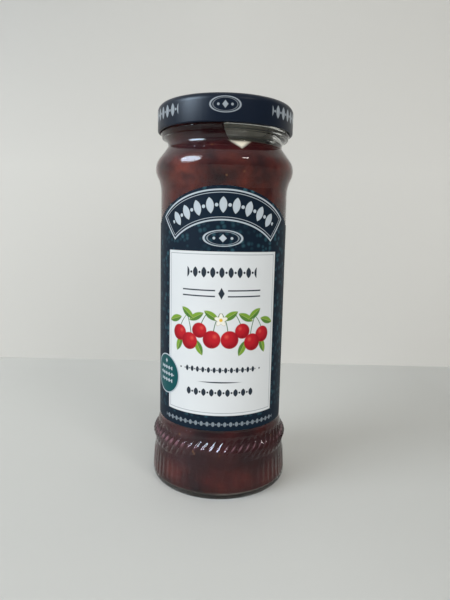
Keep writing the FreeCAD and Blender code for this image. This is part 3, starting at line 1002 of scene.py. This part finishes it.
class LabelFinish(PaperFinish):
    """Coated paper, printed navy with a white panel and generic ornaments."""

    centre_z = 77.3

    def __init__(self, sizes: JarSizes) -> None:
        """Lay the whole print."""
        super().__init__("label_paper", roughness=0.5, specular=0.07)
        net = self.net
        radius = sizes.panel + sizes.paper
        place = unrolled(net, radius)
        sheet = Print(net, Ink.NAVY.value)
        flecks = use_group(net, foliage_group(), Size=2.2, Amount=1.0)["Mask"]
        clear = cover(place.at(0, 30.4).box(90.0, 2.6), 1.0)
        sheet.lay(flecks * (1.0 - clear), Ink.TEAL_FLECK)
        self.banner(sheet, place)
        self.panel(sheet, place)
        self.fruit(sheet, place)
        self.foot_band(sheet, place)
        self.back(sheet, place, radius)
        self.colour(sheet.ground)
        self.bump(grain(net, *self.tooth), self.tooth_depth)

    def banner(self, sheet: Print, place: Plane) -> None:
        """Lay the arched band with its double silver outline and a row of leaves in it."""
        middle, half_depth, half_length = 36.6, 5.4, 25.6
        radius, angle = place.at(0, self.centre_z).polar()
        along_band = Plane(angle * middle, radius - middle)
        ends = along_band.box(half_length, half_depth)
        above = cover(self.centre_z - place.v)
        sheet.lay(cover(ends) * above, Ink.NAVY)
        sheet.lay(line(ends, 0.55) * above, Ink.SILVER)
        sheet.lay(line(ends + 1.0, 0.2) * above, Ink.SILVER)
        row = cover(along_band.box(half_length - 3.2, half_depth)) * above
        Motifs.sprig(sheet, along_band, 4.9, 2.9, row, Ink.SILVER)
        Motifs.medallion(sheet, place.at(0.1, 101.8), 7.2, 2.9, Ink.SILVER)

    @staticmethod
    def panel(sheet: Print, place: Plane) -> None:
        """Lay the white panel with its thin frame, rows of small ornaments and rules."""
        panel = place.at(0, 65.5).box(23.3, 31.4)
        sheet.lay(cover(panel), Ink.PANEL)
        sheet.lay(line(panel + 1.05, 0.22), Ink.RULE)
        heading = place.at(0, 89.2)
        Motifs.sprig(sheet, heading, 3.4, 2.0, cover(heading.box(13.6, 4.0)), Ink.TYPE)
        second = place.at(0, 81.4)
        for level, width in ((1.1, 0.5), (-1.1, 0.5)):
            sheet.lay(cover(second.at(0, level).box(15.6, width / 2)) * cover(2.4 - second.u.abs()),
                      Ink.TYPE)
        sheet.lay(cover(second.lozenge(1.2, 2.2)), Ink.TYPE)
        row = place.at(0, 52.1)
        Motifs.sprig(sheet, row, 2.2, 1.15, cover(row.box(14.4, 2.0)), Ink.TYPE)
        ends = Plane(row.u.abs() - 16.2, row.v)
        sheet.lay(cover(ends.disc(0.35)), Ink.TYPE)
        swell = place.at(0, 47.3)
        sheet.lay(cover(Plane(swell.v, swell.u).leaf(0.26, 8.4)), Ink.TYPE)
        low = place.at(0, 43.2)
        Motifs.sprig(sheet, low, 3.1, 1.5, cover(low.box(13.4, 3.0)), Ink.TYPE)

    @staticmethod
    def fruit(sheet: Print, place: Plane) -> None:
        """Lay a swag of round berries on stalks with leaves, the same on both sides."""
        mirrored = Plane(place.u.abs(), place.v)
        for u, v, turn in ((3.6, 73.0, -58), (9.6, 72.4, -118), (13.2, 73.6, -52), (19.2, 70.8, -108),
                           (17.2, 61.4, -160), (8.4, 60.6, -205)):
            Motifs.leaf(sheet, mirrored.at(u, v, turn), 1.35, 3.3)
        for u, v, bend, length in ((2.7, 66.0, -2.4, 8.0), (8.2, 65.8, -2.6, 7.6), (11.6, 63.6, 2.0, 9.6),
                                   (17.0, 65.4, -3.0, 7.0)):
            Motifs.stalk(sheet, mirrored.at(u, v), bend, length)
        for u, v, size in ((17.0, 65.6, 3.1), (8.3, 67.2, 2.9), (12.4, 62.8, 3.3), (3.4, 63.9, 3.4)):
            Motifs.berry(sheet, mirrored.at(u, v), size)
        Motifs.blossom(sheet, place.at(0, 71.4), 2.5)

    @staticmethod
    def foot_band(sheet: Print, place: Plane) -> None:
        """Lay the small grey row along the label's lower edge."""
        row = place.at(0, 30.6)
        Motifs.sprig(sheet, row, 2.3, 0.95, cover(row.box(25.0, 2.0)), Ink.GREY)

    @staticmethod
    def back(sheet: Print, place: Plane, radius: float) -> None:
        """Lay the back: a framed field of fine grey rules in two blocks, on the navy paper."""
        turned_place = Plane((place.u - math.pi * radius).wrap(2 * math.pi * radius), place.v)
        field_place = turned_place.at(0, 68.0)
        frame_shape = field_place.box(19.0, 33.0)
        sheet.lay(line(frame_shape, 0.35), Ink.SILVER)
        rules = Plane(field_place.u, field_place.v.wrap(3.1)).box(15.0, 0.42)
        gap = cover(field_place.at(0, 4.0).box(30.0, 3.2), 0.2)
        inside = cover(field_place.box(16.0, 29.5))
        sheet.lay(cover(rules) * inside * (1.0 - gap) * 0.8, Ink.GREY)


@dataclass
class Label:
    """The paper label: a full wrap with an arched top at the front."""

    sizes: JarSizes = SIZES
    columns: int = 240
    rows: int = 24
    low_z: float = 28.0
    side_z: float = 107.2
    arch_foot_z: float = 102.9
    peak_z: float = 120.8
    into: float = 0.02

    def top(self, angle: float) -> float:
        """Return the height of the label's upper edge at an angle from the front."""
        arch = self.arch_foot_z + (self.peak_z - self.arch_foot_z) * math.cos(angle)
        return max(self.side_z, arch)

    def build(self) -> bpy.types.Object:
        """Make the paper as a thin closed skin."""
        inner = self.sizes.panel - self.into
        outer = self.sizes.panel + self.sizes.paper
        vertices, faces = [], []
        ring = 2 * (self.rows + 1)
        for column in range(self.columns):
            angle = 2 * math.pi * column / self.columns
            heights = [self.low_z + (self.top(angle) - self.low_z) * row / self.rows
                       for row in range(self.rows + 1)]
            for radius, order in ((outer, heights), (inner, heights[::-1])):
                vertices += [on_ring(angle, radius, height) for height in order]
        for column in range(self.columns):
            here, after = column * ring, (column + 1) % self.columns * ring
            faces += [(here + i, after + i, after + (i + 1) % ring, here + (i + 1) % ring)
                      for i in range(ring)]
        piece = mesh_object("paper_label", vertices, faces)
        point_outwards(piece)
        sharpen(piece)
        LabelFinish(self.sizes).dress(piece)
        finished(piece, "label")
        return piece


def sharpen(piece: bpy.types.Object, degrees: float = 35.0) -> None:
    """Keep the edges of a piece crisp where its faces meet at more than an angle."""
    piece.data.set_sharp_from_angle(angle=math.radians(degrees))


class StickerFinish(PaperFinish):
    """Teal coated paper with a pale rim and a generic sprig."""

    def __init__(self, sizes: JarSizes, centre: tuple[float, float], size: float) -> None:
        """Lay the print round the sticker's centre."""
        super().__init__("sticker_paper", roughness=0.45, specular=0.1)
        place = unrolled(self.net, sizes.panel + sizes.paper).at(*centre)
        sheet = Print(self.net, Ink.STICKER.value)
        sheet.lay(1.0 - cover(place.disc(size - 0.45)), Ink.SILVER)
        for level in (-1.9, 0.0, 1.9):
            row = place.at(0, level * 1.35)
            Motifs.sprig(sheet, row, 1.9, 0.75, cover(row.box(5.2 - abs(level) * 0.6, 1.1)), Ink.SILVER)
        sheet.lay(cover(place.at(0, 5.2).lozenge(0.7, 1.0)), Ink.SILVER)
        self.colour(sheet.ground)
        self.bump(grain(self.net, *self.tooth), self.tooth_depth)


@dataclass
class Sticker:
    """The round sticker, bent round the label."""

    sizes: JarSizes = SIZES
    radius: float = 8.0
    height: float = 47.5
    turn: float = -56.0
    paper: float = 0.1
    rings: int = 8
    columns: int = 64

    def build(self) -> bpy.types.Object:
        """Make the disc as a thin closed skin that lies on the label."""
        under = self.sizes.panel + self.sizes.paper
        vertices, faces = [], []
        middle = math.radians(self.turn)
        for level in (under - 0.02, under + self.paper):
            for ring in range(self.rings + 1):
                for column in range(self.columns if ring else 1):
                    angle = 2 * math.pi * column / self.columns
                    reach = self.radius * ring / self.rings
                    swing = middle + math.asin(reach * math.cos(angle) / under)
                    vertices.append(on_ring(swing, level, self.height + reach * math.sin(angle)))
        side = 1 + self.rings * self.columns

        def at(level: int, ring: int, column: int) -> int:
            """Return a vertex's index."""
            return level * side + (0 if ring == 0 else 1 + (ring - 1) * self.columns + column % self.columns)

        for column in range(self.columns):
            for level in (0, 1):
                faces.append((at(level, 0, 0), at(level, 1, column), at(level, 1, column + 1)))
                faces += [(at(level, ring, column), at(level, ring + 1, column),
                           at(level, ring + 1, column + 1), at(level, ring, column + 1))
                          for ring in range(1, self.rings)]
            faces.append((at(0, self.rings, column), at(1, self.rings, column),
                          at(1, self.rings, column + 1), at(0, self.rings, column + 1)))
        piece = mesh_object("round_sticker", vertices, faces)
        point_outwards(piece)
        sharpen(piece)
        StickerFinish(self.sizes, (middle * under, self.height), self.radius).dress(piece)
        finished(piece, "sticker")
        return piece


# ----------------------------------------------------------------------------- lid


class LidFinish(Finish):
    """Satin navy lacquer on tinplate, with a silver print round the skirt."""

    def __init__(self, radius: float) -> None:
        """Lay the print and the fine streaks of the lacquer."""
        super().__init__("lid_lacquer", roughness=0.38, specular=0.22)
        net = self.net
        place = unrolled(net, radius)
        sheet = Print(net, Ink.LID.value)
        skirt = cover(place.at(0, 147.5).box(200.0, 4.4))
        third = 2 * math.pi * radius / 3
        badge = place.at(0, 148.4).repeat(third)
        Motifs.medallion(sheet, badge, 5.4, 2.7, Ink.LID_SILVER)
        between = Plane((place.u + third / 2).wrap(third), place.v - 147.9)
        Motifs.sprig(sheet, between, 3.4, 2.3, cover(between.box(9.8, 4.0)), Ink.LID_SILVER)
        outside = net.mix(skirt, Ink.LID.value, sheet.ground)
        lining = net.node("ShaderNodeAttribute")
        lining.attribute_name = Lid.lining
        self.colour(net.mix(Wire(net, lining.outputs["Fac"]), outside, Ink.LINING.value))
        streaks = net.node("ShaderNodeTexNoise")
        squeeze = net.node("ShaderNodeMapping")
        net.feed(squeeze.inputs["Vector"], net.node("ShaderNodeTexCoord").outputs["Object"])
        squeeze.inputs["Scale"].default_value = (900.0, 900.0, 90.0)
        net.feed(streaks.inputs["Vector"], squeeze.outputs[0])
        streaks.inputs["Scale"].default_value = 1.0
        mask = Wire(net, streaks.outputs["Fac"])
        net.feed(self.shader.inputs["Roughness"], mask * 0.16 + 0.28)
        self.bump(mask, 0.01)


@dataclass
class Lid:
    """The twist-off lid: a pressed sheet with a rolled hem and bent-in lugs."""

    sizes: JarSizes = SIZES
    segments: int = 256
    radius: float = 27.0
    sheet: float = 0.35
    height: float = 10.4
    top_z: float = 152.9
    hem: float = 25.8
    hem_height: float = 1.5
    lugs: int = 4
    lug_reach: float = 1.5
    lining: ClassVar[str] = "lining"

    def outline(self) -> list[tuple[float, float]]:
        """Return the sheet's closed outline, from the button over the top, down and back up."""
        low, top, t = self.top_z - self.height, self.top_z, self.sheet
        bore, step, button = self.radius - t, 20.6, 9.0
        panel, dimple = top - 0.9, top - 1.35
        hem_top = low + self.hem_height
        return rounded([
            (0, dimple, 0), (button - 0.9, dimple, 0.6), (button, panel, 0.6), (step, panel, 0.5),
            (step + 0.9, top, 0.5), (self.radius, top, 2.7), (self.radius, low, 0.55),
            (self.hem, low, 0.5), (self.hem, hem_top, 0.4), (bore, hem_top, 0), (bore, top - t, 2.35),
            (step + 0.9, top - t, 0.4), (step, panel - t, 0.4), (button, panel - t, 0.5),
            (button - 0.9, dimple - t, 0.5), (0, dimple - t, 0),
        ], step=math.radians(10))

    def mark_lining(self, mesh: bpy.types.Mesh) -> None:
        """Store on the mesh which of its rings of points lie on the lid's pale inside."""
        hem_top = self.top_z - self.height + self.hem_height
        last_outer = max(i for i, (_, height) in enumerate(self.outline()) if height <= hem_top + 0.02)
        attribute = mesh.attributes.new(self.lining, "FLOAT", "POINT")
        for index, mark in enumerate(attribute.data):
            ring = 0 if index == 0 else 1 + (index - 1) // self.segments
            mark.value = float(ring > last_outer)

    def lug_tree(self, material: bpy.types.Material) -> bpy.types.NodeTree:
        """Build the tree that sets the lugs round the hem and joins them to the sheet."""
        reach, low, bore = self.lug_reach, self.top_z - self.height, self.radius - self.sheet

        def build(net: Net, geometry: Wire, given: dict[str, Wire]) -> object:
            """Place one bent tab on each point of a ring, facing its middle."""
            ring = net.node("GeometryNodeMeshCircle")
            net.feed(ring.inputs["Vertices"], net.math("ROUND", given["Lugs"]))
            ring.inputs["Radius"].default_value = (bore - reach / 2) * MM
            tab = net.node("GeometryNodeMeshCube")
            tab.inputs["Size"].default_value = (reach * MM, 7.0 * MM, 0.9 * MM)
            tab.inputs["Vertices X"].default_value = 3
            tab.inputs["Vertices Y"].default_value = 5
            lean = net.node("GeometryNodeTransform")
            net.feed(lean.inputs["Geometry"], tab.outputs[0])
            lean.inputs["Rotation"].default_value = (0, math.radians(18), 0)
            lean.inputs["Translation"].default_value = (0, 0, (low + self.hem_height + 0.8) * MM)
            align = net.node("FunctionNodeAlignEulerToVector", axis="X")
            net.feed(align.inputs["Vector"], net.node("GeometryNodeInputPosition").outputs[0])
            spread = net.node("GeometryNodeInstanceOnPoints")
            net.feed(spread.inputs["Points"], ring.outputs[0])
            net.feed(spread.inputs["Instance"], lean.outputs[0])
            net.feed(spread.inputs["Rotation"], align.outputs[0])
            join = net.node("GeometryNodeJoinGeometry")
            net.tree.links.new(spread.outputs[0], join.inputs[0])
            net.tree.links.new(geometry.socket, join.inputs[0])
            return join.outputs[0]

        return geometry_tree("hem_lugs", {"Lugs": 4.0}, material, build)

    def build(self) -> bpy.types.Object:
        """Make the finished lid."""
        finish = LidFinish(self.radius)
        piece = turned("twist_lid", self.outline(), self.segments)
        self.mark_lining(piece.data)
        grown(piece, self.lug_tree(finish.material), Lugs=float(self.lugs))
        sharpen(piece, 40.0)
        finish.dress(piece)
        finished(piece, "lid")
        return piece


# ----------------------------------------------------------------------------- setting


@dataclass
class Stage:
    """The pale floor and wall that the jar is shown against, with painted shade towards the wall's top
    corners and the floor's right.
    """

    wall_y: float = 179.0
    reach: float = 3000.0
    floor_colour: Colour = srgb(204, 204, 200)
    wall_colour: Colour = srgb(212, 210, 205)
    shade_x: float = 30.0
    shade_z: float = 150.0
    shade_fade: float = 115.0
    shade_share: float = 0.76
    wall_middle: float = 0.45
    wall_aside: float = 0.002
    wall_left: float = 0.0012
    floor_right: float = 0.55

    def build(self) -> None:
        """Lay the floor and stand the wall behind it."""
        floor = self.sheet("floor", [(-1, -1, 0), (1, -1, 0), (1, None, 0), (-1, None, 0)],
                           self.floor_colour, self.floor_share)
        wall = self.sheet("backdrop", [(-1, None, 0), (1, None, 0), (1, None, 1), (-1, None, 1)],
                          self.wall_colour, self.wall_share)

    def wall_share(self, net: Net) -> Wire:
        """Give the share of painted shade on the wall: towards its top corners, the left one more."""
        x, _, z = object_place(net)
        up = net.math("DIVIDE", z - self.shade_z, self.shade_fade, clamp=True)
        return up * (x.abs() * self.wall_aside - x * self.wall_left + self.wall_middle)

    def floor_share(self, net: Net) -> Wire:
        """Give how far the floor darkens: towards the right, away from the window."""
        right = object_place(net)[0] - self.shade_x
        return net.math("DIVIDE", right, self.shade_fade, clamp=True) * self.floor_right

    def sheet(self, name: str, corners: Sequence[tuple], colour: Colour,
              share: Callable[[Net], Wire]) -> bpy.types.Object:
        """Make one flat sheet; a corner's missing y lies at the wall."""
        points = [Vector((x * self.reach, self.wall_y if y is None else y * self.reach, z * self.reach)) * MM
                  for x, y, z in corners]
        piece = mesh_object(name, points, [(0, 1, 2, 3)])
        finish = Finish(name + "_paint", roughness=0.6, specular=0.2)
        dark = tuple(part * self.shade_share for part in colour[:3]) + (1.0,)
        finish.colour(finish.net.mix(share(finish.net), colour, dark))
        finish.dress(piece)
        return piece


class Rays(Enum):
    """Which kinds of surface a lamp acts on: every one, only glossy ones, or only matt ones."""

    ALL = (True, True)
    SHEEN = (False, True)
    MATT = (True, False)


@dataclass(frozen=True)
class SoftLight:
    """A soft area lamp that faces the jar."""

    name: str
    azimuth: float
    elevation: float
    distance: float
    width: float
    height: float
    power: float
    colour: tuple[float, float, float] = (1.0, 1.0, 1.0)
    rays: Rays = Rays.ALL

    def place(self, target: Vector) -> bpy.types.Object:
        """Hang the lamp at its angles from the front and point it at the target."""
        lamp = bpy.data.lights.new(self.name, "AREA")
        lamp.shape = "ELLIPSE"
        lamp.size, lamp.size_y = self.width, self.height
        lamp.energy = self.power
        lamp.color = self.colour
        holder = bpy.data.objects.new(self.name, lamp)
        turn, tilt = math.radians(self.azimuth), math.radians(self.elevation)
        away = Vector((math.sin(turn) * math.cos(tilt), -math.cos(turn) * math.cos(tilt), math.sin(tilt)))
        holder.location = target + away * self.distance
        holder.rotation_euler = away.to_track_quat("Z", "Y").to_euler()
        holder.visible_camera = False
        holder.visible_diffuse, holder.visible_glossy = self.rays.value
        bpy.context.scene.collection.objects.link(holder)
        return holder


LIGHTS = (
    SoftLight("window", -61.0, 32.0, 1.3, 0.85, 0.9, 9.0, (0.86, 0.93, 1.0)),
    SoftLight("window_sheen", -61.0, 32.0, 1.29, 0.72, 0.62, 20.0, (0.62, 0.81, 1.0), Rays.SHEEN),
    SoftLight("room_fill", 20.0, 26.0, 1.7, 1.6, 1.1, 11.5, (1.0, 0.99, 0.97), Rays.MATT),
    SoftLight("ceiling_lamp", 40.0, 42.0, 1.4, 0.28, 0.15, 1.7, (1.0, 0.98, 0.93)),
)


@dataclass(frozen=True)
class Room:
    """The even light of a pale room, dimmer straight in front of the jar and to its right."""

    strength: float = 0.8
    colour: Colour = srgb(228, 229, 228)
    front_share: float = 0.3
    right_share: float = 0.4

    def build(self) -> None:
        """Set the scene's world up."""
        world = bpy.data.worlds.new("room")
        world.use_nodes = True
        net = Net(world.node_tree)
        background = world.node_tree.nodes["Background"]
        background.inputs["Color"].default_value = self.colour
        split = net.node("ShaderNodeSeparateXYZ")
        net.feed(split.inputs[0], net.node("ShaderNodeTexCoord").outputs["Generated"])
        towards_front = (Wire(net, split.outputs[1]) * -1.0).max(0.0)
        front = 1.0 - net.math("POWER", towards_front, 3.0) * (1.0 - self.front_share)
        right = 1.0 - Wire(net, split.outputs[0]).max(0.0) * (1.0 - self.right_share)
        net.feed(background.inputs["Strength"], front * right * self.strength)
        bpy.context.scene.world = world


@dataclass(frozen=True)
class Viewpoint:
    """The camera's place, in millimetres from the jar's origin, and its angles in degrees."""

    across: float = 1.35
    back: float = 207.9
    height: float = 104.75
    pitch: float = 8.016
    roll: float = 1.25
    lens: float = 29.75

    def place(self) -> None:
        """Set the scene's camera up."""
        camera = bpy.data.cameras.new("camera")
        camera.lens = self.lens
        camera.sensor_width = 36.0
        camera.clip_start = 0.01
        holder = bpy.data.objects.new("camera", camera)
        turn = Matrix.Rotation(math.radians(90 - self.pitch), 4, "X") @ Matrix.Rotation(
            math.radians(self.roll), 4, "Z")
        holder.matrix_world = Matrix.Translation(
            Vector((self.across, -self.back, self.height)) * MM) @ turn
        bpy.context.scene.collection.objects.link(holder)
        bpy.context.scene.camera = holder


def main() -> None:
    """Build the jar, its contents, its paper and its lid, then the room."""
    logging.basicConfig(level=logging.INFO, format="%(message)s")
    bpy.context.scene.view_settings.view_transform = "Standard"
    Viewpoint().place()
    for maker in (GlassJar(), Jam(), Label(), Sticker(), Lid()):
        piece = maker.build()
        LOG.info("built %s", piece.name)
    Stage().build()
    centre = Vector((0, 0, SIZES.rim_z / 2)) * MM
    for light in LIGHTS:
        light.place(centre)
    Room().build()


if __name__ == "__main__":
    main()
